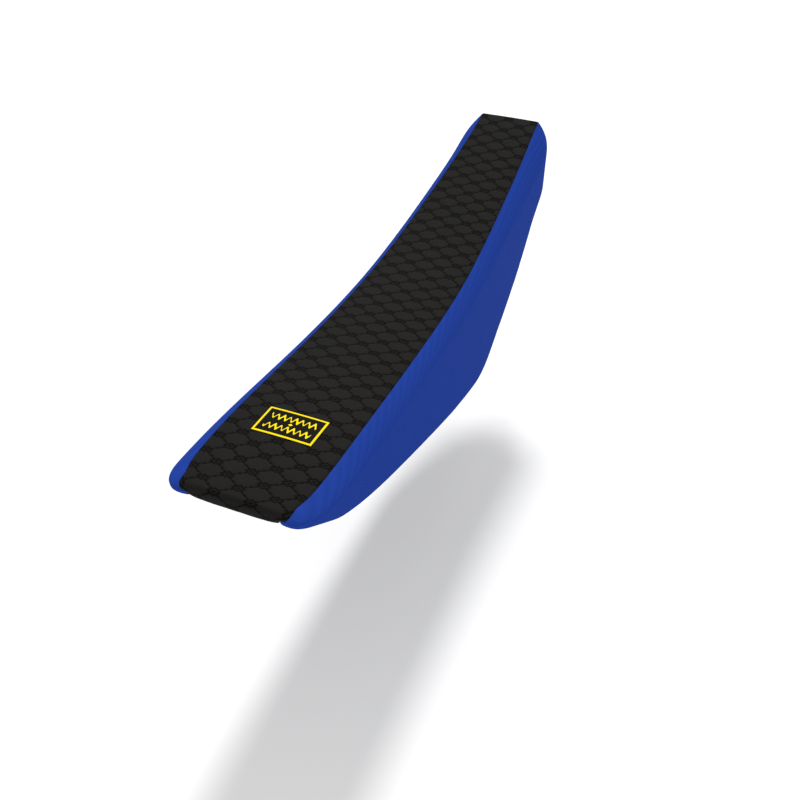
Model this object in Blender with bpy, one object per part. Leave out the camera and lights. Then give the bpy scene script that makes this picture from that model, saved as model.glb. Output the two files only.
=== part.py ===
"""Off-road motorcycle seat: moulded base, foam, three-panel stapled cover and its metal fixings.

Run with: blender --background --python part.py

Axes: +Y towards the nose of the seat, +X to the rider's right, +Z up. The origin is the top face of
the front tongue, on the centre plane, where the motorcycle holds the seat. Outlines are written in
millimetres, with s measured forward from the rear lip and heights from the top of the rear lip.
"""
import math

import bmesh
import bpy
from mathutils import Matrix, Vector

for old in list(bpy.data.objects):
    bpy.data.objects.remove(old, do_unlink=True)

# ---------------------------------------------------------------- driving dimensions, millimetres
MM = 0.001
GAP = 0.3                 # clearance between touching pieces
FOAM_GAP = 0.9            # clearance between the cover and the plain foam
COVER = 1.6               # thickness of the cover sheet
PAN = 3.1                 # wall of the moulded base
CROWN = 2.0               # drop of the top panel from its middle to its seams
REAR_BOW = 2.0            # how far the rear edge bows back in the middle
SHOULDER_START = 28.0     # slope of the side panel where it leaves the seam, degrees
SHOULDER_END = 88.0
TUCK = 1.5                # how far the side panel draws in towards its lower edge
CORNER_TUCK = 0.2         # the same where the panel turns the corners
EDGE_RADIUS = 5.0         # roll of the cover round the base's edge
HEM = 15.0                # cover folded flat under the base
FLANGE = 16.0             # flat rim of the base, where the staples go
WALL_RUN = 8.0            # slope of the wall between the rim and the raised middle

# Side view and plan of the seat, as (s, value): smooth curves run through these points.
TOP_LINE = ((0, 0), (100, 0), (240, -5.5), (330, -6), (400, -1.5), (470, 9.5), (560, 29), (625, 45.5),
            (692, 67))
SEAM_LINE = ((40, 56.5), (90, 58), (250, 55), (400, 51.5), (530, 45.5), (665, 38))
EDGE_LINE = ((0, -14), (20, -20), (60, -44), (160, -83), (320, -133), (415, -155), (445, -157),
             (475, -149), (570, -100), (612, -70), (640, -46), (670, -27), (694, -15))
BULGE_LINE = ((40, 15.5), (100, 15), (250, 13.5), (450, 13), (600, 16), (665, 18.5))
DROP_LINE = ((40, 12), (100, 17), (250, 20), (450, 22), (600, 28), (665, 30))
RISE_LINE = ((0, 2.5), (40, 7), (100, 14), (250, 22), (440, 30), (560, 34), (640, 26), (694, 12))

# Rounded corners of the plan, rear and front: seam x, seam s, way the panel faces, bulge and drop.
# A panel faces 0 degrees backwards, 90 to the side and 180 forwards.
REAR_CORNER = ((42, 7.5, 0, 3, 5.5), (47, 10, 20, 7.5, 6), (51, 15, 45, 13, 6.5), (54, 24, 70, 15.5, 8.5))
FRONT_CORNER = ((37, 680, 115, 17, 28), (36.3, 686, 140, 12.5, 22), (35.7, 688, 160, 7, 14),
                (35, 689, 180, 4, 8))
MAIN_START = 40
MAIN_END = 665
MAIN_STEPS = 19
REAR_CENTRE = (30, 34)    # plan centres that the rim's corners turn about
FRONT_CENTRE = (22, 655)
COLUMNS = 8               # faces across the top panel

# Base fixings, along s
TONGUE_START = 636
TONGUE_END = 716
TONGUE_WIDTH = 34.0
TONGUE_SHEET = 2.5
HOOK_AT = 545
HOOK_WIDTH = 30.0
HOOK_SHEET = 2.5
HOOK_REACH = 26.0
BRACKET_AT = 125
BRACKET_X = 34.0
BRACKET_SHEET = 2.2
BRACKET_EAR = 46.0
EYE_DROP = 34.0           # bolt eye below the bracket's plate
SCREW_R = 2.5
HOLE_R = 2.8
BUMPERS = ((26, 60), (21, 320), (17, 495))
STAPLES_PER_SIDE = 12
STAPLE_WIRE = 1.2
STAPLE_CROWN = 10.0
STAPLE_LEG = 3.6


# ---------------------------------------------------------------- curves
def along(points, s):
    """Value at s of the smooth curve through (s, value) points."""
    last = len(points) - 1
    if s <= points[0][0]:
        return points[0][1]
    if s >= points[last][0]:
        return points[last][1]
    i = max(n for n in range(last) if points[n][0] <= s)

    def slope(n):
        a = points[max(n - 1, 0)]
        b = points[min(n + 1, last)]
        return (b[1] - a[1]) / (b[0] - a[0])

    span = points[i + 1][0] - points[i][0]
    t = (s - points[i][0]) / span
    start = points[i][1] * (1 + 2 * t) * (1 - t) ** 2 + slope(i) * span * t * (1 - t) ** 2
    end = points[i + 1][1] * t * t * (3 - 2 * t) - slope(i + 1) * span * t * t * (1 - t)
    return start + end


def inset(path, distance, first=None):
    """Move an (out, height) path sideways, to the right of its direction, with mitred corners."""
    normals = []
    for (o0, z0), (o1, z1) in zip(path, path[1:]):
        length = math.hypot(o1 - o0, z1 - z0)
        normals.append(((z1 - z0) / length, -(o1 - o0) / length))
    moved = []
    for i, (o, z) in enumerate(path):
        before = normals[i - 1] if i else (first or normals[0])
        after = normals[i] if i < len(normals) else normals[-1]
        mitre = 1 + before[0] * after[0] + before[1] * after[1]
        step = distance / mitre
        moved.append((o + (before[0] + after[0]) * step, z + (before[1] + after[1]) * step))
    return moved


def seat_z(x, s):
    """Height of the cover's top surface."""
    half = along(SEAM_LINE, s)
    return along(TOP_LINE, s) - CROWN * (x / half) ** 2


def roof_z(s):
    """Height of the underside of the base's raised middle."""
    return along(EDGE_LINE, s) + COVER + GAP + along(RISE_LINE, s)


# ---------------------------------------------------------------- stations round the right half
class Station:
    """One place on the outline: the seam point, the way the panel faces and the rim below it."""

    def __init__(self, x, s, facing, bulge, drop, tuck=CORNER_TUCK):
        turn = math.radians(facing)
        self.x = x
        self.s = s
        self.normal = (math.sin(turn), -math.cos(turn))
        self.bulge = bulge
        self.drop = drop
        self.tuck = tuck
        self.edge = bulge - tuck
        self.edge_x = x + self.normal[0] * self.edge
        self.edge_s = s + self.normal[1] * self.edge
        self.top = along(TOP_LINE, s) - CROWN
        self.low = along(EDGE_LINE, self.edge_s)
        self.rise = along(RISE_LINE, self.edge_s)
        centre_x = REAR_CENTRE[0] if s < MAIN_END / 2 else FRONT_CENTRE[0]
        centre_s = min(max(self.edge_s, REAR_CENTRE[1]), FRONT_CENTRE[1])
        reach = math.hypot(centre_x - self.edge_x, centre_s - self.edge_s)
        self.inward = ((centre_x - self.edge_x) / reach, (centre_s - self.edge_s) / reach)

    def place(self, out, z):
        """World point of the side, measured out from the seam."""
        return Vector((self.x + self.normal[0] * out, self.s + self.normal[1] * out, z))

    def under(self, out, z):
        """World point of the rim and the hem, measured in from the lower edge."""
        run = self.edge - out
        return Vector((self.edge_x + self.inward[0] * run, self.edge_s + self.inward[1] * run, z))

    def skin(self):
        """Outer face of the cover: shoulder, side, roll round the edge and hem."""
        path = []
        low_angle = math.radians(SHOULDER_START)
        high_angle = math.radians(SHOULDER_END)
        for i in range(5):
            angle = low_angle + (high_angle - low_angle) * i / 4
            out = (math.sin(angle) - math.sin(low_angle)) / (math.sin(high_angle) - math.sin(low_angle))
            down = (math.cos(low_angle) - math.cos(angle)) / (math.cos(low_angle) - math.cos(high_angle))
            path.append((self.bulge * out, self.top - self.drop * down))
        start = self.top - self.drop
        end = self.low + EDGE_RADIUS
        for i in range(1, 4):
            path.append((self.bulge - self.tuck * i / 3, start + (end - start) * i / 3))
        for i in range(1, 4):
            angle = math.radians(30 * i)
            path.append((self.edge - EDGE_RADIUS * (1 - math.cos(angle)),
                         self.low + EDGE_RADIUS * (1 - math.sin(angle))))
        path.append((self.edge - EDGE_RADIUS - HEM, self.low))
        return path

    def pan_top(self):
        """Upper face of the base: raised middle's edge, foot of the wall, outer edge of the rim."""
        rim = self.low + EDGE_RADIUS
        foot = self.edge - EDGE_RADIUS - FLANGE
        return [(foot - WALL_RUN, rim + self.rise), (foot, rim), (self.edge - COVER - GAP, rim)]


SEAM_STEP = (0.0, -1.0)   # the top panel faces up, so its inner face lies straight below
SKIN_ROLL = 7             # first point of the roll in Station.skin


def make_stations():
    stations = [Station(*row) for row in REAR_CORNER]
    for i in range(MAIN_STEPS + 1):
        s = MAIN_START + (MAIN_END - MAIN_START) * i / MAIN_STEPS
        bulge = along(BULGE_LINE, s)
        stations.append(Station(along(SEAM_LINE, s), s, 90, bulge, along(DROP_LINE, s), TUCK))
    stations.extend(Station(*row) for row in FRONT_CORNER)
    return stations


STATIONS = make_stations()
TONGUE_Z = STATIONS[-1].low - 3.0          # top face of the tongue, clear of the front hem
ORIGIN = Vector((0, TONGUE_END - 16, TONGUE_Z))


# ---------------------------------------------------------------- meshes
def material(name, colour, roughness, metallic=0.0):
    shader = bpy.data.materials.new(name)
    shader.use_nodes = True
    shader.diffuse_color = (*colour, 1.0)
    principled = shader.node_tree.nodes["Principled BSDF"]
    principled.inputs["Base Color"].default_value = (*colour, 1.0)
    principled.inputs["Roughness"].default_value = roughness
    principled.inputs["Metallic"].default_value = metallic
    return shader


GRIPPER = material("gripper_vinyl", (0.020, 0.019, 0.018), 0.75)
VINYL = material("blue_vinyl", (0.015, 0.045, 0.29), 0.6)
FOAM = material("moulded_foam", (0.30, 0.28, 0.22), 0.95)
PLASTIC = material("black_polypropylene", (0.025, 0.025, 0.027), 0.5)
ZINC = material("zinc_steel", (0.55, 0.55, 0.52), 0.35, 1.0)
STEEL = material("staple_steel", (0.62, 0.62, 0.62), 0.3, 1.0)
RUBBER = material("black_rubber", (0.02, 0.02, 0.02), 0.85)
LABEL = material("yellow_label", (0.95, 0.74, 0.01), 0.45)


def add_object(name, bm, shader, smooth=True):
    """Finish a mesh drawn in millimetres: face it outwards, move it to the origin and scale it."""
    bmesh.ops.recalc_face_normals(bm, faces=bm.faces)
    for vert in bm.verts:
        vert.co = (vert.co - ORIGIN) * MM
    mesh = bpy.data.meshes.new(name)
    bm.to_mesh(mesh)
    bm.free()
    if smooth:
        mesh.shade_smooth()
        mesh.set_sharp_from_angle(angle=math.radians(40))
    mesh.materials.append(shader)
    item = bpy.data.objects.new(name, mesh)
    bpy.context.collection.objects.link(item)
    return item


def mirrored(point):
    return Vector((-point.x, point.y, point.z))


def across(point, fraction, crown=0.0, bow=0.0):
    """Point between the left and right copies of a rim point; fraction runs from -1 to 1."""
    rest = 1 - fraction * fraction
    return Vector((point.x * fraction, point.y - bow * rest, point.z + crown * rest))


def add_grid(bm, rows):
    """Triangles over a table of vertices, split along the shorter diagonal on every layer."""
    for low, high in zip(rows, rows[1:]):
        for i in range(len(low) - 1):
            a, b, c, d = low[i], low[i + 1], high[i + 1], high[i]
            if (a.co - c.co).length <= (b.co - d.co).length:
                bm.faces.new((a, b, c))
                bm.faces.new((a, c, d))
            else:
                bm.faces.new((a, b, d))
                bm.faces.new((b, c, d))


def thick_grid(name, outer, inner, shader):
    """Closed sheet between two tables of points."""
    bm = bmesh.new()
    top = [[bm.verts.new(p) for p in row] for row in outer]
    low = [[bm.verts.new(p) for p in row] for row in inner]
    add_grid(bm, top)
    add_grid(bm, low)
    for a, b in ((top[0], low[0]), (top[-1], low[-1])):
        add_grid(bm, [a, b])
    for side in (0, -1):
        add_grid(bm, [[row[side] for row in top], [row[side] for row in low]])
    return add_object(name, bm, shader)


def row_bow(s):
    """The rear edge's bow dies away over the first part of the seat."""
    return REAR_BOW * max(0.0, 1 - s / 80) ** 2


def ring_body(name, rings, crown_top, crown_low, shader):
    """Closed body from one ring of points per station, mirrored, with a sheet above and below."""
    bm = bmesh.new()
    right = [[bm.verts.new(p) for p in ring] for ring in rings]
    left = [[bm.verts.new(mirrored(p)) for p in ring] for ring in rings]
    add_grid(bm, right)
    add_grid(bm, left)
    bands = {}
    count = len(rings[0])
    fractions = [-1 + 2 * i / COLUMNS for i in range(COLUMNS + 1)]

    def band(k, j):
        if (k, j) not in bands:
            point = rings[k][j]
            crown = crown_top if j == 0 else crown_low if j == count - 1 else 0.0
            bow = row_bow(point.y)
            middle = [bm.verts.new(across(point, f, crown, bow)) for f in fractions[1:-1]]
            bands[k, j] = [left[k][j], *middle, right[k][j]]
        return bands[k, j]

    last = len(rings) - 1
    add_grid(bm, [band(k, 0) for k in range(last + 1)])
    add_grid(bm, [band(k, count - 1) for k in range(last + 1)])
    add_grid(bm, [band(0, j) for j in range(count)])
    add_grid(bm, [band(last, j) for j in range(count)])
    return add_object(name, bm, shader)


def prism(name, outline, shader, x0, x1, bevel=0.0):
    """Plate cut to an (s, z) outline and spanning x0 to x1."""
    bm = bmesh.new()
    ends = [[bm.verts.new((x, s, z)) for s, z in outline] for x in (x0, x1)]
    bm.faces.new(ends[0])
    bm.faces.new(ends[1])
    add_grid(bm, [ends[0] + ends[0][:1], ends[1] + ends[1][:1]])
    if bevel:
        bmesh.ops.bevel(bm, geom=bm.edges, offset=bevel, segments=1, affect='EDGES')
    return add_object(name, bm, shader, smooth=False)


def turned(bm, profile, frame, segments=12):
    """Turn a closed (radius, height) profile about the frame's Z axis."""
    rings = []
    for i in range(segments):
        angle = 2 * math.pi * i / segments
        ring = []
        for radius, height in profile:
            if radius == 0 and i:
                ring.append(rings[0][len(ring)])
            else:
                spot = Vector((radius * math.cos(angle), radius * math.sin(angle), height))
                ring.append(bm.verts.new(frame @ spot))
        rings.append(ring)
    solid = profile[0][0] == 0
    steps = len(profile) - 1 if solid else len(profile)
    for i in range(segments):
        a = rings[i]
        b = rings[(i + 1) % segments]
        for j in range(steps):
            corners = [a[j], a[(j + 1) % len(a)], b[(j + 1) % len(b)], b[j]]
            bm.faces.new(list(dict.fromkeys(corners)))


def turned_object(name, profile, frame, shader, segments=12):
    bm = bmesh.new()
    turned(bm, profile, frame, segments)
    return add_object(name, bm, shader)


def block(bm, centre, size, frame):
    """Box of the given size, placed in a frame."""
    made = bmesh.ops.create_cube(bm, size=1.0)
    for vert in made["verts"]:
        spot = Vector(vert.co[i] * size[i] + centre[i] for i in range(3))
        vert.co = frame @ spot


def cut(target, cutter, operation='DIFFERENCE'):
    cutter.hide_render = True
    cutter.display_type = 'WIRE'
    step = target.modifiers.new(cutter.name, 'BOOLEAN')
    step.operation = operation
    step.solver = 'EXACT'
    step.object = cutter


def roof_frame(x, s):
    """Frame on the underside of the base's middle: Y along the roof, Z into the base."""
    tilt = math.atan2(roof_z(s + 4) - roof_z(s - 4), 8)
    return Matrix.Translation((x, s, roof_z(s))) @ Matrix.Rotation(tilt, 4, 'X')


# ---------------------------------------------------------------- cover panels
def cover_panels():
    """Top, left and right panels: sewn edge to edge, rolled round the base and folded under it."""
    outer = []
    inner = []
    for station in STATIONS:
        path = station.skin()
        back = inset(path, COVER, first=SEAM_STEP)
        outer.append([station.place(*path[0])])
        inner.append([station.place(*back[0])])
        outer[-1] += [station.place(*p) for p in path[1:SKIN_ROLL]]
        inner[-1] += [station.place(*p) for p in back[1:SKIN_ROLL]]
        outer[-1] += [station.under(*p) for p in path[SKIN_ROLL:]]
        inner[-1] += [station.under(*p) for p in back[SKIN_ROLL:]]

    last = len(STATIONS) - 1
    ends = len(outer[0])
    order = [(0, j) for j in range(ends - 1, 0, -1)]
    order += [(k, 0) for k in range(last + 1)]
    order += [(last, j) for j in range(1, ends)]
    fractions = [-1 + 2 * i / COLUMNS for i in range(COLUMNS + 1)]

    def sheet(points):
        rows = []
        for k, j in order:
            point = points[k][j].copy()
            point.x -= GAP
            crown = CROWN if j < SKIN_ROLL else 0.0
            fade = max(0.0, 1 - j / SKIN_ROLL)
            rows.append([across(point, f, crown * fade, row_bow(point.y)) for f in fractions])
        return rows

    thick_grid("top_cover", sheet(outer), sheet(inner), GRIPPER)
    for name, flip in (("right_side_cover", False), ("left_side_cover", True)):
        rows = [[mirrored(p) if flip else p for p in row] for row in outer]
        back = [[mirrored(p) if flip else p for p in row] for row in inner]
        thick_grid(name, rows, back, VINYL)


# ---------------------------------------------------------------- foam
def foam_pad():
    """Moulded foam between the cover and the base."""
    rings = []
    for station in STATIONS:
        sides = inset(station.skin(), COVER + FOAM_GAP, first=SEAM_STEP)[:SKIN_ROLL]
        floor = inset(station.pan_top(), -GAP)
        floor[-1] = (station.edge - COVER - FOAM_GAP, floor[-1][1])
        ring = [station.place(*p) for p in sides]
        ring += [station.under(*p) for p in reversed(floor)]
        rings.append(ring)
    ring_body("foam_pad", rings, CROWN, 0.0, FOAM)


# ---------------------------------------------------------------- base
def seat_base():
    """Injection-moulded pan: stapling rim, raised middle and ribs under it."""
    rings = []
    for station in STATIONS:
        upper = station.pan_top()
        roll = inset(station.skin(), COVER + GAP)[SKIN_ROLL + 1:SKIN_ROLL + 4]
        lower = inset(upper, PAN)
        rim = station.low + COVER + GAP
        foot = (lower[1][0], rim)
        edge = (lower[0][0], rim + station.rise)
        ring = [station.under(*p) for p in upper + roll + [foot, edge]]
        rings.append(ring)
    base = ring_body("seat_base", rings, 0.0, 0.0, PLASTIC)
    return base


def lateral_rib(base, s):
    """Rib across the underside of the raised middle, its ends buried in the walls."""
    half = along(SEAM_LINE, s) + along(BULGE_LINE, s) - TUCK - EDGE_RADIUS - FLANGE - WALL_RUN
    bm = bmesh.new()
    block(bm, (0, 0, -3.0), (2 * half, 2.6, 9.0), roof_frame(0, s))
    cut(base, add_object(f"rib_{s}", bm, PLASTIC, smooth=False), 'UNION')


def long_rib(base, x, start, end):
    """Rib along the underside of the raised middle."""
    steps = max(2, round((end - start) / 30))
    bm = bmesh.new()
    rings = []
    for i in range(steps + 1):
        s = start + (end - start) * i / steps
        z = roof_z(s)
        rings.append([bm.verts.new((x + dx, s, z + dz))
                      for dx, dz in ((-1.3, 1.4), (1.3, 1.4), (1.3, -6), (-1.3, -6))])
    add_grid(bm, [ring + ring[:1] for ring in rings])
    bm.faces.new(rings[0])
    bm.faces.new(rings[-1])
    side = "right" if x > 0 else "left"
    cut(base, add_object(f"rail_{side}_{start}", bm, PLASTIC, smooth=False), 'UNION')


# ---------------------------------------------------------------- fixings
def screw_profile(grip):
    """Pan-head screw hanging from Z=0: head below, shank up into the base."""
    return ((0, -3.2), (3.2, -3.0), (4.8, -1.6), (5.0, -GAP), (SCREW_R, -GAP), (SCREW_R, grip), (0, grip))


def sheet_strip(path, thickness):
    """(s, z) outline of bent sheet metal whose top face follows a path."""
    return list(path) + list(reversed(inset(path, thickness)))


def add_hole(holes, frame, depth_low, depth_high, radius=HOLE_R):
    turned(holes, ((0, depth_low), (radius, depth_low), (radius, depth_high), (0, depth_high)), frame)


def front_tongue(holes):
    """Steel tongue that slides under the tank's bracket, with two screws up into the base."""
    start = roof_z(TONGUE_START) - GAP
    bend = roof_z(TONGUE_START + 22) - GAP
    path = ((TONGUE_START, start), (TONGUE_START + 22, bend), (TONGUE_START + 31, TONGUE_Z),
            (TONGUE_END, TONGUE_Z))
    half = TONGUE_WIDTH / 2
    plate = prism("front_tongue", sheet_strip(path, TONGUE_SHEET), ZINC, -half, half)
    tilt = math.atan2(bend - start, 22)
    cutter = bmesh.new()
    for side, x in (("left", -9), ("right", 9)):
        spot = (x, TONGUE_START + 10, start + 10 * math.tan(tilt))
        frame = Matrix.Translation(spot) @ Matrix.Rotation(tilt, 4, 'X')
        add_hole(cutter, frame, -6, 2)
        add_hole(holes, frame, -2, 6)
        head = frame @ Matrix.Translation((0, 0, -TONGUE_SHEET))
        turned_object(f"tongue_screw_{side}", screw_profile(TONGUE_SHEET + 2.6), head, STEEL)
    cut(plate, add_object("tongue_cutter", cutter, ZINC))


def tank_hook(holes):
    """Steel hook under the front half: a tab on the tank slides in above its free leg."""
    frame = roof_frame(0, HOOK_AT)
    start = frame @ Vector((0, -30, -GAP))
    bend = frame @ Vector((0, 0, -GAP))
    leg = bend.z - 20
    path = ((start.y, start.z), (bend.y, bend.z), (bend.y + 2, leg), (bend.y + 2 + HOOK_REACH, leg))
    half = HOOK_WIDTH / 2
    plate = prism("tank_hook", sheet_strip(path, HOOK_SHEET), ZINC, -half, half)
    cutter = bmesh.new()
    for side, x in (("left", -8), ("right", 8)):
        spot = frame @ Matrix.Translation((x, -16, -GAP))
        add_hole(cutter, spot, -6, 2)
        add_hole(holes, spot, -2, 6)
        head = spot @ Matrix.Translation((0, 0, -HOOK_SHEET))
        turned_object(f"tank_hook_rivet_{side}", screw_profile(HOOK_SHEET + 2.6), head, STEEL)
    cut(plate, add_object("hook_cutter", cutter, ZINC))


def rear_bracket(holes, side, sign):
    """Steel angle at the rear: two screws hold it, and its eye takes the seat bolt from the side."""
    frame = roof_frame(sign * BRACKET_X, BRACKET_AT)
    sheet = BRACKET_SHEET
    foot = -GAP - BRACKET_EAR
    outline = ((0, -GAP), (20, -GAP), (20, -GAP - sheet), (sheet, -GAP - sheet), (sheet, foot), (0, foot))
    bm = bmesh.new()
    ends = [[bm.verts.new(frame @ Vector((-sign * x, y, z))) for x, z in outline] for y in (-15, 15)]
    bm.faces.new(ends[0])
    bm.faces.new(ends[1])
    add_grid(bm, [ends[0] + ends[0][:1], ends[1] + ends[1][:1]])
    plate = add_object(f"rear_bracket_{side}", bm, ZINC, smooth=False)
    eye = frame @ Matrix.Translation((-sign * BRACKET_SHEET / 2, 0, -EYE_DROP))
    eye = eye @ Matrix.Rotation(math.radians(90), 4, 'Y')
    cutter = bmesh.new()
    add_hole(cutter, eye, -6, 6, radius=8.3)
    for end, y in (("front", 9), ("rear", -9)):
        spot = frame @ Matrix.Translation((-sign * 11, y, -GAP))
        add_hole(cutter, spot, -6, 2)
        add_hole(holes, spot, -2, 6)
        head = spot @ Matrix.Translation((0, 0, -BRACKET_SHEET))
        turned_object(f"bracket_screw_{side}_{end}", screw_profile(BRACKET_SHEET + 2.6), head, STEEL)
    cut(plate, add_object(f"bracket_cutter_{side}", cutter, ZINC))
    groove = BRACKET_SHEET / 2 + GAP
    rubber = ((6.3, -5), (10.5, -5), (11, -4), (11, -groove), (8, -groove), (8, groove), (11, groove),
              (11, 4), (10.5, 5), (6.3, 5))
    turned_object(f"bolt_grommet_{side}", rubber, eye, RUBBER, segments=20)
    collar = ((3.3, -5.6), (6, -5.6), (6, 5.6), (3.3, 5.6))
    turned_object(f"bolt_collar_{side}", collar, eye, STEEL, segments=20)


def bumper(holes, side, place, x, s):
    """Rubber bumper pressed into the base, on which the seat rests on the motorcycle's frame."""
    frame = roof_frame(x, s)
    add_hole(holes, frame, -2, 6, radius=3.3)
    profile = ((0, -11), (8, -11), (9, -10), (9.5, -GAP), (3, -GAP), (3, 2.6), (0, 2.6))
    turned_object(f"bumper_{side}_{place}", profile, frame, RUBBER, segments=16)


def side_staple_spots(sign):
    """Even spacing along the straight hem of one side, each with the way the rim runs there."""
    line = []
    for station in STATIONS[len(REAR_CORNER):-len(FRONT_CORNER) - 1]:
        spot = station.under(station.edge - EDGE_RADIUS - 8, station.low)
        line.append(Vector((sign * spot.x, spot.y, spot.z)))
    lengths = [0.0]
    for a, b in zip(line, line[1:]):
        lengths.append(lengths[-1] + (b - a).length)
    spots = []
    for i in range(STAPLES_PER_SIDE):
        target = lengths[-1] * (i + 0.5) / STAPLES_PER_SIDE
        k = max(n for n in range(len(line) - 1) if lengths[n] <= target)
        part = (target - lengths[k]) / (lengths[k + 1] - lengths[k])
        spots.append((line[k].lerp(line[k + 1], part), (line[k + 1] - line[k]).normalized()))
    return spots


def end_staple_spots(station, half):
    """Two staples side by side across the rear or front hem."""
    spot = station.under(station.edge - EDGE_RADIUS - 8, station.low)
    return [(Vector((x, spot.y, spot.z)), Vector((1, 0, 0))) for x in (-half, half)]


def staple(name, spot, way, panel_holes, holes):
    """One wire staple, its crown under the hem and its legs up in the rim, and its cutters."""
    up = (Vector((0, 0, 1)) - way * way.z).normalized()
    rotation = Matrix((way, up.cross(way), up)).transposed().to_4x4()
    frame = Matrix.Translation(spot) @ rotation
    half = STAPLE_CROWN / 2
    wire = STAPLE_WIRE
    low = -GAP - wire
    outline = ((-half, low), (half, low), (half, STAPLE_LEG), (half - wire, STAPLE_LEG),
               (half - wire, -GAP), (-half + wire, -GAP), (-half + wire, STAPLE_LEG), (-half, STAPLE_LEG))
    bm = bmesh.new()
    ends = [[bm.verts.new(frame @ Vector((x, y, z))) for x, z in outline] for y in (-wire / 2, wire / 2)]
    bm.faces.new(ends[0])
    bm.faces.new(ends[1])
    add_grid(bm, [ends[0] + ends[0][:1], ends[1] + ends[1][:1]])
    add_object(name, bm, STEEL, smooth=False)
    room = wire + 2 * GAP
    for x in (-half + wire / 2, half - wire / 2):
        block(panel_holes, (x, 0, 0), (room, room, 8), frame)
        block(holes, (x, 0, 1.6), (room, room, 5), frame)


def staples(holes):
    """Wire staples through the hem into the rim, one node each."""
    groups = {
        "left": ("left_side_cover", side_staple_spots(-1)),
        "right": ("right_side_cover", side_staple_spots(1)),
        "rear": ("top_cover", end_staple_spots(STATIONS[0], 16)),
        "front": ("top_cover", end_staple_spots(STATIONS[-1], 24)),
    }
    for place, (panel, spots) in groups.items():
        panel_holes = bmesh.new()
        for i, (spot, way) in enumerate(spots):
            staple(f"staple_{place}_{i + 1:02d}", spot, way, panel_holes, holes)
        cutter = add_object(f"staple_cutter_{place}", panel_holes, STEEL, smooth=False)
        cut(bpy.data.objects[panel], cutter)


# ---------------------------------------------------------------- label
def rear_label():
    """Flexible badge on the top panel near the rear."""
    width = 60.0
    length = 37.0
    centre = 102.0
    rows = []
    for i in range(5):
        s = centre - length / 2 + length * i / 4
        rows.append([(-width / 2 + width * j / 6, s) for j in range(7)])
    outer = [[Vector((x, s, seat_z(x, s) + GAP + 0.8)) for x, s in row] for row in rows]
    inner = [[Vector((x, s, seat_z(x, s) + GAP)) for x, s in row] for row in rows]
    thick_grid("rear_label", outer, inner, LABEL)


# ---------------------------------------------------------------- assembly
cover_panels()
foam_pad()
pan = seat_base()
for rib_s in (90, 160, 210, 260, 370, 420, 465, 590):
    lateral_rib(pan, rib_s)
for rail_x in (-22, 22):
    long_rib(pan, rail_x, 160, 260)
    long_rib(pan, rail_x, 370, 465)
pan_holes = bmesh.new()
front_tongue(pan_holes)
tank_hook(pan_holes)
for bracket_side, bracket_sign in (("left", -1), ("right", 1)):
    rear_bracket(pan_holes, bracket_side, bracket_sign)
    for bumper_place, (bumper_x, bumper_s) in zip(("rear", "middle", "front"), BUMPERS):
        bumper(pan_holes, bracket_side, bumper_place, bracket_sign * bumper_x, bumper_s)
staples(pan_holes)
cut(pan, add_object("base_cutter", pan_holes, PLASTIC, smooth=False))
rear_label()
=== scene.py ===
import math
from bisect import bisect_left

import bmesh
import bpy
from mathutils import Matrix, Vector


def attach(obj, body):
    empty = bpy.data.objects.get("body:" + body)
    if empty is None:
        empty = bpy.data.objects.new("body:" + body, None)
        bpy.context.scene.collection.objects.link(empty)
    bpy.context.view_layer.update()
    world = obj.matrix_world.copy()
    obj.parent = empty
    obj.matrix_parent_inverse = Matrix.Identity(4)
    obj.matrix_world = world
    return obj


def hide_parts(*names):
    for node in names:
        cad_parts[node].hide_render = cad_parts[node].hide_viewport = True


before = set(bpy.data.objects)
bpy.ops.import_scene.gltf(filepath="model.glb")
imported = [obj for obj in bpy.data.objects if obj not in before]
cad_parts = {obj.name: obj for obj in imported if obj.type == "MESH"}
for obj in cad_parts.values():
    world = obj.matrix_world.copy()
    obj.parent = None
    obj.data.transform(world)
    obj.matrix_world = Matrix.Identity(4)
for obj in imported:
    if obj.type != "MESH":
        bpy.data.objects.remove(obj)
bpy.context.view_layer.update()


# ---------------------------------------------------------------- studio
# The seat hangs over a plain white floor, which shows only from above. A soft lamp above and
# beyond the nose gives the blurred shadow, and an even white sky fills the sides.
camera_data = bpy.data.cameras.new("studio_camera")
camera_data.lens = 43.456
camera_data.sensor_width = 36.0
camera_data.clip_start = 0.01
camera = bpy.data.objects.new("studio_camera", camera_data)
camera.location = (0.3449, -1.1542, 0.5465)
camera.rotation_euler = (math.radians(52.36), 0, math.radians(23.486))
bpy.context.scene.collection.objects.link(camera)
bpy.context.scene.camera = camera
bpy.context.scene.view_settings.view_transform = 'Standard'

sky = bpy.data.worlds.new("studio_sky")
sky.use_nodes = True
sky_tree = sky.node_tree
fill = sky_tree.nodes["Background"]
fill.inputs["Color"].default_value = (1, 1, 1, 1)
fill.inputs["Strength"].default_value = 0.80
backdrop = sky_tree.nodes.new("ShaderNodeBackground")
backdrop.inputs["Color"].default_value = (1, 1, 1, 1)
seen = sky_tree.nodes.new("ShaderNodeLightPath")
either = sky_tree.nodes.new("ShaderNodeMixShader")
sky_tree.links.new(seen.outputs["Is Camera Ray"], either.inputs[0])
sky_tree.links.new(fill.outputs[0], either.inputs[1])
sky_tree.links.new(backdrop.outputs[0], either.inputs[2])
sky_tree.links.new(either.outputs[0], sky_tree.nodes["World Output"].inputs["Surface"])
bpy.context.scene.world = sky

overhead_data = bpy.data.lights.new("overhead", 'SUN')
overhead_data.energy = 1.75
overhead_data.angle = math.radians(10)
overhead = bpy.data.objects.new("overhead", overhead_data)
overhead.location = (-0.4, 0.8, 2)
overhead.rotation_euler = (math.radians(-29.6), math.radians(-11.3), 0)
bpy.context.scene.collection.objects.link(overhead)

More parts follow.
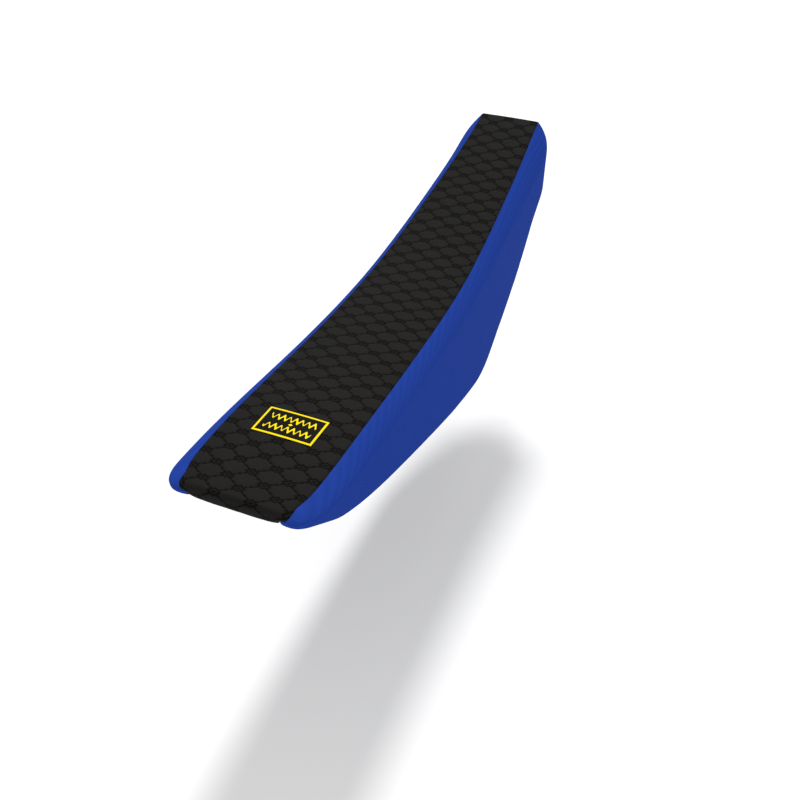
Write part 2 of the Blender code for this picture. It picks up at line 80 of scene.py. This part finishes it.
floor_shape = bmesh.new()
bmesh.ops.create_grid(floor_shape, x_segments=8, y_segments=8, size=20)
bmesh.ops.translate(floor_shape, verts=floor_shape.verts, vec=(0, 0, -0.295))
floor_mesh = bpy.data.meshes.new("studio_floor")
floor_shape.to_mesh(floor_mesh)
floor_shape.free()
floor = bpy.data.objects.new("studio_floor", floor_mesh)
bpy.context.scene.collection.objects.link(floor)
floor_paint = bpy.data.materials.new("floor_paint")
floor_paint.use_nodes = True
floor_tree = floor_paint.node_tree
paint = floor_tree.nodes["Principled BSDF"]
paint.inputs["Base Color"].default_value = (0.90, 0.90, 0.90, 1)
paint.inputs["Roughness"].default_value = 1.0
paint.inputs["Specular IOR Level"].default_value = 0.0
from_below = floor_tree.nodes.new("ShaderNodeNewGeometry")
clear = floor_tree.nodes.new("ShaderNodeBsdfTransparent")
one_sided = floor_tree.nodes.new("ShaderNodeMixShader")
floor_tree.links.new(from_below.outputs["Backfacing"], one_sided.inputs[0])
floor_tree.links.new(paint.outputs[0], one_sided.inputs[1])
floor_tree.links.new(clear.outputs[0], one_sided.inputs[2])
floor_tree.links.new(one_sided.outputs[0], floor_tree.nodes["Material Output"].inputs[0])
floor_mesh.materials.append(floor_paint)


# ---------------------------------------------------------------- moulded base
# Black polypropylene pan, injection moulded with a fine spark-eroded texture, ribs under its
# middle and a flat rim that the cover is stapled to. The whole seat is built up on it.
class Shade:
    """One socket of a finish. Sums and products on it add the nodes that work them out."""

    def __init__(self, finish, socket):
        self.finish = finish
        self.socket = socket

    def maths(self, operation, *others):
        return self.finish.node("ShaderNodeMath", {"operation": operation}, [self, *others])

    def __add__(self, other):
        return self.maths('ADD', other)

    def __sub__(self, other):
        return self.maths('SUBTRACT', other)

    def __rsub__(self, other):
        return self.finish.node("ShaderNodeMath", {"operation": 'SUBTRACT'}, [other, self])

    def __mul__(self, other):
        return self.maths('MULTIPLY', other)

    def __lt__(self, other):
        return self.maths('LESS_THAN', other)

    def __gt__(self, other):
        return self.maths('GREATER_THAN', other)

    __radd__ = __add__


class Finish:
    """A material under way: its surface numbers, and the nodes that vary them."""

    def __init__(self, name, **numbers):
        self.material = bpy.data.materials.new(name)
        self.material.use_nodes = True
        self.tree = self.material.node_tree
        self.surface = self.tree.nodes["Principled BSDF"]
        for socket, value in numbers.items():
            self.surface.inputs[socket.replace("_", " ")].default_value = value

    def node(self, kind, settings, inputs, output=0):
        """Add a node: its settings first, then a value or a link for each socket."""
        made = self.tree.nodes.new(kind)
        for name, value in settings.items():
            if name == "stops":
                ramp = made.color_ramp
                while len(ramp.elements) < len(value):
                    ramp.elements.new(1.0)
                for element, (place, colour) in zip(ramp.elements, value):
                    element.position = place
                    element.color = (*colour, 1)
            else:
                setattr(made, name, value)
        pairs = inputs.items() if isinstance(inputs, dict) else enumerate(inputs)
        for name, value in pairs:
            if isinstance(value, Shade):
                self.tree.links.new(value.socket, made.inputs[name])
            else:
                made.inputs[name].default_value = value
        return Shade(self, made.outputs[output])

    def spot(self, way="Object"):
        return self.node("ShaderNodeTexCoord", {}, {}, way)

    def noise(self, scale, detail=2.0, spot=None):
        return self.node("ShaderNodeTexNoise", {},
                         {"Vector": spot or self.spot(), "Scale": scale, "Detail": detail})

    def cells(self, scale, spot=None):
        return self.node("ShaderNodeTexVoronoi", {}, {"Vector": spot or self.spot(), "Scale": scale})

    def blend(self, amount, low, high):
        """Mix two colours, each a triple or a Shade."""
        ends = [end if isinstance(end, Shade) else (*end, 1) for end in (low, high)]
        return self.node("ShaderNodeMix", {"data_type": 'RGBA'}, {0: amount, 6: ends[0], 7: ends[1]}, 2)

    def bump(self, height, distance, strength=1.0, under=None):
        inputs = {"Height": height, "Distance": distance, "Strength": strength}
        if under:
            inputs["Normal"] = under
        return self.node("ShaderNodeBump", {}, inputs)

    def drive(self, **sockets):
        for name, value in sockets.items():
            self.tree.links.new(value.socket, self.surface.inputs[name.replace("_", " ")])


def coat(node_name, finish):
    """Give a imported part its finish."""
    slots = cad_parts[node_name].data.materials
    slots.clear()
    slots.append(finish.material)


moulded = Finish("moulded_polypropylene", Metallic=0.0, IOR=1.49)
flow = moulded.noise(14, 3)
erosion = moulded.noise(1900, 2)
moulded.drive(
    Base_Color=moulded.blend(flow, (0.012, 0.012, 0.013), (0.030, 0.030, 0.032)),
    Roughness=0.42 + flow * 0.18,
    Normal=moulded.bump(erosion, 0.00012),
)
coat("seat_base", moulded)


# ---------------------------------------------------------------- foam
# Moulded polyurethane foam, pale, with a fine open grain where its skin is thin. It drops on
# the base and nothing but the stretched cover holds it.
foam_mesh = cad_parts["foam_pad"].data.copy()
foam_shape = bmesh.new()
foam_shape.from_mesh(foam_mesh)
bmesh.ops.remove_doubles(foam_shape, verts=foam_shape.verts, dist=0.00002)
foam_shape.to_mesh(foam_mesh)
foam_shape.free()
foam = bpy.data.objects.new("foam", foam_mesh)
bpy.context.scene.collection.objects.link(foam)
remesh = foam.modifiers.new("remesh", 'REMESH')
remesh.mode = 'VOXEL'
remesh.voxel_size = 0.0045
soften = foam.modifiers.new("soften", 'SMOOTH')
soften.factor = 0.5
soften.iterations = 3
evaluated = foam.evaluated_get(bpy.context.evaluated_depsgraph_get())
foam.data = bpy.data.meshes.new_from_object(evaluated)
foam.modifiers.clear()
foam_shape = bmesh.new()
foam_shape.from_mesh(foam.data)
foam_shape.normal_update()
for vert in foam_shape.verts:
    vert.co -= vert.normal * 0.0004
foam_shape.to_mesh(foam.data)
foam_shape.free()
foam.data.shade_smooth()

polyurethane = Finish("polyurethane_foam", Roughness=0.95)
pores = polyurethane.cells(900)
stain = polyurethane.noise(25, 4)
polyurethane.drive(
    Base_Color=polyurethane.blend(stain, (0.44, 0.39, 0.28), (0.62, 0.58, 0.46)),
    Normal=polyurethane.bump(pores, 0.0005),
)
foam.data.materials.clear()
foam.data.materials.append(polyurethane.material)
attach(foam, "root")
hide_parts("foam_pad")


# ---------------------------------------------------------------- top panel of the cover
# Grippy black vinyl, hot embossed with a trellis of dashed lines and small lozenges whose cells
# stand slightly proud. It runs over the nose and the rear lip and is stapled under the base.
MM = 0.001
CROWN = 2.0
REAR_BOW = 2.0
EDGE_RADIUS = 5.0
HEM = 15.0
TOP_LINE = ((0, 0), (100, 0), (240, -5.5), (330, -6), (400, -1.5), (470, 9.5), (560, 29), (625, 45.5),
            (692, 67))
SEAM_LINE = ((40, 56.5), (90, 58), (250, 55), (400, 51.5), (530, 45.5), (665, 38))
EDGE_LINE = ((0, -14), (20, -20), (60, -44), (160, -83), (320, -133), (415, -155), (445, -157),
             (475, -149), (570, -100), (612, -70), (640, -46), (670, -27), (694, -15))
BULGE_LINE = ((40, 15.5), (100, 15), (250, 13.5), (450, 13), (600, 16), (665, 18.5))
DROP_LINE = ((40, 12), (100, 17), (250, 20), (450, 22), (600, 28), (665, 30))


def along(points, s):
    """Value at s of the smooth curve through (s, value) points."""
    last = len(points) - 1
    if s <= points[0][0]:
        return points[0][1]
    if s >= points[last][0]:
        return points[last][1]
    i = max(n for n in range(last) if points[n][0] <= s)

    def slope(n):
        a = points[max(n - 1, 0)]
        b = points[min(n + 1, last)]
        return (b[1] - a[1]) / (b[0] - a[0])

    span = points[i + 1][0] - points[i][0]
    t = (s - points[i][0]) / span
    start = points[i][1] * (1 + 2 * t) * (1 - t) ** 2 + slope(i) * span * t * (1 - t) ** 2
    end = points[i + 1][1] * t * t * (3 - 2 * t) - slope(i + 1) * span * t * t * (1 - t)
    return start + end


# Stations round one half of the rim: seam x, seam s, way faced in degrees, bulge, drop and tuck.
stations = [(42, 7.5, 0, 3, 5.5, 0.2), (47, 10, 20, 7.5, 6, 0.2), (51, 15, 45, 13, 6.5, 0.2),
            (54, 24, 70, 15.5, 8.5, 0.2)]
for step in range(20):
    s = 40 + 625 * step / 19
    stations.append((along(SEAM_LINE, s), s, 90, along(BULGE_LINE, s), along(DROP_LINE, s), 1.5))
stations += [(37.6, 680, 112, 15.8, 26, 0.4), (37.6, 686, 135, 11.5, 20, 0.3), (37.5, 688.5, 155, 7, 13, 0.2),
             (37.3, 690, 180, 3, 6, 0.2)]
LAST = len(stations) - 1
nose_edge = 690 + 3 - 0.2
ORIGIN = Vector((0, 700, along(EDGE_LINE, nose_edge) - 3.0))


def rim(k):
    """Station values at any k from 0 to LAST, smooth from one station to the next."""
    i = min(int(k), LAST - 1)
    t = k - i
    a, b, c, d = (stations[min(max(n, 0), LAST)] for n in (i - 1, i, i + 1, i + 2))
    return [b[n] + 0.5 * t * (c[n] - a[n] + t * (2 * a[n] - 5 * b[n] + 4 * c[n] - d[n]
            + t * (3 * (b[n] - c[n]) + d[n] - a[n]))) for n in range(6)]


def side_point(station, p):
    """Outer face of the cover below the seam: p to 1 shoulder, 2 wall, 3 roll, 4 hem. Millimetres."""
    x, s, facing, bulge, drop, tuck = station
    turn = math.radians(facing)
    out_x = math.sin(turn)
    out_s = -math.cos(turn)
    edge = bulge - tuck
    edge_x = x + out_x * edge
    edge_s = s + out_s * edge
    top = along(TOP_LINE, s) - CROWN
    low = along(EDGE_LINE, edge_s)
    if p <= 1:
        first = math.radians(28)
        final = math.radians(88)
        angle = first + (final - first) * p
        out = bulge * (math.sin(angle) - math.sin(first)) / (math.sin(final) - math.sin(first))
        down = (math.cos(first) - math.cos(angle)) / (math.cos(first) - math.cos(final))
        return Vector((x + out_x * out, s + out_s * out, top - drop * down))
    if p <= 2:
        out = bulge - tuck * (p - 1)
        start = top - drop
        return Vector((x + out_x * out, s + out_s * out, start + (low + EDGE_RADIUS - start) * (p - 1)))
    if p <= 3:
        angle = math.pi / 2 * (p - 2)
        run = EDGE_RADIUS * (1 - math.cos(angle))
        z = low + EDGE_RADIUS * (1 - math.sin(angle))
    else:
        run = EDGE_RADIUS + HEM * (p - 3)
        z = low
    centre = (30, 34) if s < 332 else (22, 655)
    to_x = centre[0] - edge_x
    to_s = min(max(edge_s, 34), 655) - edge_s
    reach = math.hypot(to_x, to_s)
    return Vector((edge_x + to_x / reach * run, edge_s + to_s / reach * run, z))


REAR_SEAM_START = 2.6                             # the seam leaves the top here and runs down the corner
REAR_SEAM_END = 2.6


def seam_drop(k):
    """How far down the rear corner the seam has run at k."""
    return REAR_SEAM_END * max(0.0, 1 - k / REAR_SEAM_START) ** 2.6


def even_steps(spots, place):
    """Lengths run so far along a line of spots, measured on the points they stand for."""
    runs = [0.0]
    points = [place(*spot) for spot in spots]
    for a, b in zip(points, points[1:]):
        runs.append(runs[-1] + (b - a).length)
    return runs


def at_run(spots, runs, share):
    """Spot at a share of the whole length."""
    run = runs[-1] * share
    i = min(max(bisect_left(runs, run), 1), len(runs) - 1)
    part = (run - runs[i - 1]) / max(runs[i] - runs[i - 1], 1e-9)
    return [a + (b - a) * part for a, b in zip(spots[i - 1], spots[i])]


def laid_sheet(name, columns, rows, place, pattern, relief, edge_roll):
    """Cover panel laid over the foam: a fine grid placed on the seat, its relief raised along its
    normals, its edges rolled down and turned in by the thickness of the vinyl."""
    shape = bmesh.new()
    bmesh.ops.create_grid(shape, x_segments=columns, y_segments=rows, size=0.5)
    laid = shape.loops.layers.uv.new("laid")
    share = {vert: (vert.co.x + 0.5, vert.co.y + 0.5) for vert in shape.verts}
    for face in shape.faces:
        for loop in face.loops:
            loop[laid].uv = pattern(*share[loop.vert])
    for vert in shape.verts:
        vert.co = (place(*share[vert]) - ORIGIN) * MM
    shape.normal_update()
    outward = 0.0
    for face in shape.faces:
        centre = face.calc_center_median()
        outward += face.normal.dot(centre - Vector((0, centre.y, -0.04))) * face.calc_area()
    if outward < 0:
        bmesh.ops.reverse_faces(shape, faces=shape.faces)
        shape.normal_update()
    lift = {vert: relief(*share[vert]) for vert in shape.verts}
    normals = {vert: vert.normal.copy() for vert in shape.verts}
    for vert, height in lift.items():
        vert.co += normals[vert] * height * MM
    border = [edge for edge in shape.edges if edge.is_boundary]
    inward = {vert: normals[vert] for edge in border for vert in edge.verts}
    turned = bmesh.ops.extrude_edge_only(shape, edges=border)
    for vert in turned["geom"]:
        if isinstance(vert, bmesh.types.BMVert):
            nearest = min(vert.link_edges, key=lambda edge: edge.calc_length())
            vert.co -= inward[nearest.other_vert(vert)] * edge_roll * MM
    mesh = bpy.data.meshes.new(name)
    shape.to_mesh(mesh)
    shape.free()
    mesh.shade_smooth()
    mesh.set_sharp_from_angle(angle=math.radians(55))
    sheet = bpy.data.objects.new(name, mesh)
    bpy.context.scene.collection.objects.link(sheet)
    return sheet


# Rows along the panel: 0 to 1 rear hem, to 2 rear lip, to 3 seat, to 4 nose and front hem.
STEPS = 24                                        # rows from one station to the next
HEM_ROWS = 40
LIP_ROWS = 90
NOSE_ROWS = 160
line = [(n / HEM_ROWS,) for n in range(HEM_ROWS)]
line += [(1 + n / LIP_ROWS,) for n in range(LIP_ROWS)]
line += [(2 + n / (22 * STEPS),) for n in range(22 * STEPS)]
line += [(3 + n / NOSE_ROWS,) for n in range(NOSE_ROWS + 1)]


def top_row(row):
    """Middle and right end of one row of the top panel, and how square the row's ends are."""
    if row < 1:
        end = side_point(rim(0), 4 - (4 - REAR_SEAM_END) * row)
        return Vector((0, end.y - REAR_BOW, end.z)), end, 6
    if row < 2:
        climb = row - 1
        k = REAR_SEAM_START * climb
        end = side_point(rim(k), seam_drop(k))
        if climb < 0.5:
            p = REAR_SEAM_END * (1 - 2 * climb)
            edge = side_point(rim(0), p)
            crown = CROWN * max(0.0, 1 - p / 2)
        else:
            edge = side_point(rim(REAR_SEAM_START * (2 * climb - 1)), 0)
            crown = CROWN
        bow = REAR_BOW * max(0.0, 1 - edge.y / 80) ** 2
        return Vector((0, edge.y - bow, edge.z + crown)), end, 6 - 4 * climb ** 2
    k = REAR_SEAM_START + (LAST - REAR_SEAM_START) * min(row - 2, 1.0)
    p = 4 * max(0.0, row - 3)
    end = side_point(rim(k), p)
    bow = REAR_BOW * max(0.0, 1 - end.y / 80) ** 2
    crown = CROWN * max(0.0, 1 - p) * (1 - 0.8 * min(1.0, max(0.0, (end.y - 620) / 70)))
    return Vector((0, end.y - bow, end.z + crown)), end, 2


line_runs = even_steps(line, lambda row: top_row(row)[0])
panel_length = line_runs[-1]
seat_start = line_runs[HEM_ROWS + LIP_ROWS // 2]  # the top of the rear lip
PITCH_X = 34.0
PITCH_Y = 21.14
SQUARE = math.hypot(1 / PITCH_X, 1 / PITCH_Y)
CELL_RISE = 0.5                                   # how far a cell stands out of the trellis
SEAM_DIP = 0.45                                   # how far both panels dip along the seam
SEAM_WIDTH = 1.1
pattern_zero = seat_start + (28 - 7.5) + PITCH_Y / 2
top_rows = {}


def top_spot(across, share):
    key = round(share, 7)
    if key not in top_rows:
        top_rows[key] = top_row(at_run(line, line_runs, share)[0])
    middle, end, square = top_rows[key]
    side = across * 2 - 1
    fall = abs(side) ** square
    return Vector(((end.x - 0.3) * side, middle.y + (end.y - middle.y) * fall,
                   middle.z + (end.z - middle.z) * fall))


def top_pattern(across, share):
    """Trellis coordinates: one unit is one pitch across or along."""
    return (top_spot(across, share).x / PITCH_X, (panel_length * share - pattern_zero) / PITCH_Y)


def top_relief(across, share):
    u, v = top_pattern(across, share)
    groove = min(abs(u - v - round(u - v)), abs(u + v - round(u + v))) / SQUARE
    from_seam = top_spot(1, share).x * (1 - abs(across * 2 - 1))
    seam = math.exp(-(from_seam / SEAM_WIDTH) ** 2)
    row = at_run(line, line_runs, share)[0]
    taut = min(1.0, max(0.0, (row - 1.45) / 0.5)) * min(1.0, max(0.0, (2.99 - row) / 0.02))
    cell = CELL_RISE * (1 - math.exp(-(groove / 2.2) ** 2)) * (0.15 + 0.85 * taut)
    return cell * (1 - seam) - SEAM_DIP * seam


ROWS = 640
top_panel = laid_sheet("top_panel", ROWS // 7, ROWS, top_spot, top_pattern, top_relief, 1.4)

grip = Finish("gripper_vinyl", IOR=1.45)
grip.surface.inputs["Specular IOR Level"].default_value = 0.06
laid = grip.spot("UV")
u = grip.node("ShaderNodeSeparateXYZ", {}, [laid], 0)
v = grip.node("ShaderNodeSeparateXYZ", {}, [laid], 1)
falling = (u - v).maths('PINGPONG', 0.5)
rising = (u + v).maths('PINGPONG', 0.5)
BETWEEN = 20.02                                   # millimetres from lozenge to lozenge


def dashed(off_line, from_lozenge):
    """Dashes along one set of lines, none where a lozenge sits."""
    on_line = off_line < SQUARE
    run = from_lozenge * BETWEEN
    first = (run > 4.4) * (run < 7.0)
    return on_line * (first + (run > 8.0))


lozenge = falling.maths('MAXIMUM', rising)
ring = (lozenge - 0.165).maths('ABSOLUTE') < 0.045
marks = dashed(falling, rising) + dashed(rising, falling) + ring + (lozenge < 0.075)
print_mask = marks.maths('MINIMUM', 1.0)
hide = grip.cells(1100)
haze = grip.noise(18, 4)
worn = grip.noise(4.5, 3)
ground = grip.blend(haze, (0.0096, 0.0091, 0.0085), (0.0122, 0.0116, 0.0109))
grip.drive(
    Base_Color=grip.blend(print_mask, ground, (0.0030, 0.0026, 0.0022)),
    Roughness=0.62 + worn * 0.16 + print_mask * 0.1,
    Normal=grip.bump(print_mask * -1.0, 0.0003, 1.0, under=grip.bump(hide, 0.00006, 0.7)),
)
top_panel.data.materials.append(grip.material)
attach(top_panel, "root")
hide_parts("top_cover")


# ---------------------------------------------------------------- side panels of the cover
# Blue upholstery vinyl, faintly ribbed lengthwise, one panel a side, sewn to the top panel, drawn
# down over the foam, rolled round the base and folded under it, with small gathers at the corners.
PROFILE_STEPS = 400                               # lengths measured from the seam down to the hem
GATHER = 1.3                                      # depth of the small gathers at the corners
SLACK = 0.5                                       # how far the hem hangs between two staples
around = [(n / STEPS, 1.0) for n in range(LAST * STEPS + 1)]
around_runs = even_steps(around, lambda k, p: side_point(rim(k), p))
side_rows = {}


def side_row(share):
    """Station, profile spots and lengths down the panel at a share of the way to the nose."""
    key = round(share, 7)
    if key not in side_rows:
        k = at_run(around, around_runs, share)[0]
        station = rim(k)
        start = seam_drop(k)
        spots = [(start + (4 - start) * n / PROFILE_STEPS,) for n in range(PROFILE_STEPS + 1)]
        side_rows[key] = (station, spots, even_steps(spots, lambda p: side_point(station, p)))
    return side_rows[key]


def side_spot(share, down):
    """Right side: share runs from the rear corner to the nose, down from the seam to the hem."""
    station, spots, runs = side_row(share)
    p = at_run(spots, runs, down)[0]
    point = side_point(station, p)
    if p > 3:
        fold = p - 3
        corner = max(0.0, 1 - share / 0.07) + max(0.0, 1 - (1 - share) / 0.09)
        gathered = corner * (0.5 - 0.5 * math.cos(share * 520))
        between = (0.5 - 0.5 * math.cos(2 * math.pi * 12 * (share - 0.06) / 0.88)) * (1 - min(1, corner))
        point.z -= fold * (GATHER * gathered + SLACK * between)
    return point


def side_relief(share, down):
    depth = side_row(share)[2][-1] * down
    return -SEAM_DIP * math.exp(-(depth / SEAM_WIDTH) ** 2)


def side_pattern(share, down):
    return (share * around_runs[-1] * MM, side_row(share)[2][-1] * down * MM)


hide_blue = Finish("blue_vinyl", IOR=1.45)
hide_blue.surface.inputs["Specular IOR Level"].default_value = 0.002
grain = hide_blue.cells(850)
pull = hide_blue.noise(9, 3)
mottle = hide_blue.noise(240, 3)
laid = hide_blue.spot()
fore = hide_blue.node("ShaderNodeSeparateXYZ", {}, [laid], 1)
high = hide_blue.node("ShaderNodeSeparateXYZ", {}, [laid], 2)
RIB_PITCH = 0.005
BEAD_PITCH = 0.0035
RIB_RUN, RIB_RISE = 0.974, 0.225                  # the ribs climb 13 degrees towards the nose
rib = ((high * RIB_RUN - fore * RIB_RISE) * (2 * math.pi / RIB_PITCH)).maths('SINE')
bead = ((fore * RIB_RUN + high * RIB_RISE) * (2 * math.pi / BEAD_PITCH)).maths('SINE')
ribbing = rib * (0.7 + bead * 0.3)
blue = hide_blue.blend(pull, (0.0158, 0.0476, 0.297), (0.0183, 0.0526, 0.320))
hide_blue.drive(
    Base_Color=hide_blue.blend(mottle * 0.25 + ribbing * 0.16 + 0.16, blue, (0.0100, 0.0330, 0.208)),
    Roughness=0.50 + pull * 0.14,
    Normal=hide_blue.bump(ribbing, 0.00018, 0.7, hide_blue.bump(grain, 0.00008, 0.8)),
)
COLUMNS = 300
for side, sign in (("left", -1), ("right", 1)):
    def placed(share, down):
        point = side_spot(share, down)
        return Vector((sign * point.x, point.y, point.z))

    panel = laid_sheet(f"{side}_side_panel", COLUMNS, COLUMNS // 4, placed, side_pattern, side_relief, 1.4)
    panel.data.materials.append(hide_blue.material)
    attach(panel, "root")
    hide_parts(f"{side}_side_cover")


# ---------------------------------------------------------------- rear badge
# Soft moulded badge welded to the top panel: black ground, raised yellow frame, two yellow waves
# and a lozenge between them.
WIDE = 58.6
LONG = 35.8
BADGE_S = 102                                     # the badge's middle along the seat
BORDER = 1.3                                      # the frame's middle line, in from the edge
WAVE = 2.6                                        # height of the waves
WAVE_RATE = 1.05
WAVE_AT = 6.8                                     # distance of each wave from the middle
WAVE_REACH = 22.5


def badge_spot(across, share):
    x = WIDE * (across - 0.5)
    s = BADGE_S + LONG * (share - 0.5)
    half = along(SEAM_LINE, s)
    corner = max(0.0, abs(x) - WIDE / 2 + 2) ** 2 + max(0.0, abs(s - BADGE_S) - LONG / 2 + 2) ** 2
    return Vector((x, s, along(TOP_LINE, s) - CROWN * (x / half) ** 2 + 1.0 - 0.05 * corner))


def badge_pattern(across, share):
    return (WIDE * (across - 0.5), LONG * (share - 0.5))


def badge_marks(x, y):
    """How far inside a yellow mark a point lies, in millimetres; below nought it is outside."""
    frame_line = 1.0 - abs(min(WIDE / 2 - abs(x), LONG / 2 - abs(y)) - BORDER)
    thick = 1.5 + 0.5 * math.sin(0.42 * x)
    upper = thick - abs(y - WAVE_AT - WAVE * math.sin(WAVE_RATE * x))
    lower = thick - abs(y + WAVE_AT - WAVE * math.sin(WAVE_RATE * x + 2))
    middle = 2.2 - abs(x) - abs(y) * 1.3
    return max(frame_line, min(max(upper, lower), WAVE_REACH - abs(x)), middle)


def badge_relief(across, share):
    return 0.35 * min(1.0, max(0.0, 0.5 + 1.4 * badge_marks(*badge_pattern(across, share))))


badge = laid_sheet("badge", 150, 92, badge_spot, badge_pattern, badge_relief, 0.9)
pvc = Finish("badge_pvc", IOR=1.45)
pvc.surface.inputs["Specular IOR Level"].default_value = 0.04
laid = pvc.spot("UV")
x = pvc.node("ShaderNodeSeparateXYZ", {}, [laid], 0)
y = pvc.node("ShaderNodeSeparateXYZ", {}, [laid], 1)
inset = (WIDE / 2 - x.maths('ABSOLUTE')).maths('MINIMUM', LONG / 2 - y.maths('ABSOLUTE'))
framed = 1.0 - (inset - BORDER).maths('ABSOLUTE')
thick = 1.5 + (x * 0.42).maths('SINE') * 0.5
upper = thick - (y - WAVE_AT - (x * WAVE_RATE).maths('SINE') * WAVE).maths('ABSOLUTE')
lower = thick - (y + WAVE_AT - (x * WAVE_RATE + 2.0).maths('SINE') * WAVE).maths('ABSOLUTE')
ends = WAVE_REACH - x.maths('ABSOLUTE')
middle = 2.2 - x.maths('ABSOLUTE') - y.maths('ABSOLUTE') * 1.3
waves = upper.maths('MAXIMUM', lower).maths('MINIMUM', ends)
marks = framed.maths('MAXIMUM', waves).maths('MAXIMUM', middle)
yellow = marks > 0.0
dust = pvc.noise(160, 3)
pvc.drive(
    Base_Color=pvc.blend(yellow, (0.0045, 0.0045, 0.0043),
                         pvc.blend(dust, (0.90, 0.68, 0.004), (0.98, 0.76, 0.006))),
    Roughness=0.42 + dust * 0.15,
    Normal=pvc.bump(pvc.noise(1400, 2), 0.00005, 0.6),
)
badge.data.materials.append(pvc.material)
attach(badge, "root")
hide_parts("rear_label")


# ---------------------------------------------------------------- tongue, hook and rear brackets
# Pressed steel, zinc plated and clear passivated, so it is silvery with a faint warm and blue
# bloom. The tongue and the hook catch the tank, the brackets take the seat bolts.
zinc = Finish("zinc_plate", Metallic=1.0)
bloom = zinc.noise(40, 3)
spangle = zinc.cells(420)
brushed = zinc.node("ShaderNodeMapping", {}, {"Vector": zinc.spot(), "Scale": (1, 0.05, 1)})
scratch = zinc.noise(2600, 2, brushed)
zinc.drive(
    Base_Color=zinc.node("ShaderNodeValToRGB", {"stops": [
        (0.35, (0.50, 0.47, 0.38)), (0.52, (0.58, 0.58, 0.56)), (0.68, (0.46, 0.49, 0.56))]}, [bloom]),
    Roughness=0.26 + spangle * 0.16 + scratch * 0.14,
    Normal=zinc.bump(scratch, 0.00003, 0.6),
)
for part_name in ("front_tongue", "tank_hook", "rear_bracket_left", "rear_bracket_right"):
    coat(part_name, zinc)


# ---------------------------------------------------------------- screws, rivets, collars, staples
# Bright zinc screws and rivets, turned steel collars for the seat bolts, and galvanised staples
# shot through the folded hem into the rim of the base.
bright = Finish("bright_zinc", Metallic=1.0)
tarnish = bright.noise(300, 3)
bright.drive(
    Base_Color=bright.blend(tarnish, (0.42, 0.41, 0.38), (0.72, 0.72, 0.71)),
    Roughness=0.22 + tarnish * 0.2,
    Normal=bright.bump(bright.noise(3000, 1), 0.00002, 0.5),
)
for part_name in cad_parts:
    if part_name.startswith(("staple_", "bracket_screw", "tongue_screw", "tank_hook_rivet", "bolt_collar")):
        coat(part_name, bright)


# ---------------------------------------------------------------- bumpers and grommets
# Black moulded rubber: bumpers pressed into the base rest on the frame rails, and grommets in the
# rear brackets' eyes keep the collars from rattling.
rubber = Finish("moulded_rubber", IOR=1.5)
bloom = rubber.noise(120, 4)
rubber.drive(
    Base_Color=rubber.blend(bloom, (0.010, 0.010, 0.010), (0.034, 0.033, 0.031)),
    Roughness=0.72 + bloom * 0.2,
    Normal=rubber.bump(rubber.noise(1500, 2), 0.0001),
)
for part_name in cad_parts:
    if part_name.startswith(("bumper_", "bolt_grommet")):
        coat(part_name, rubber)
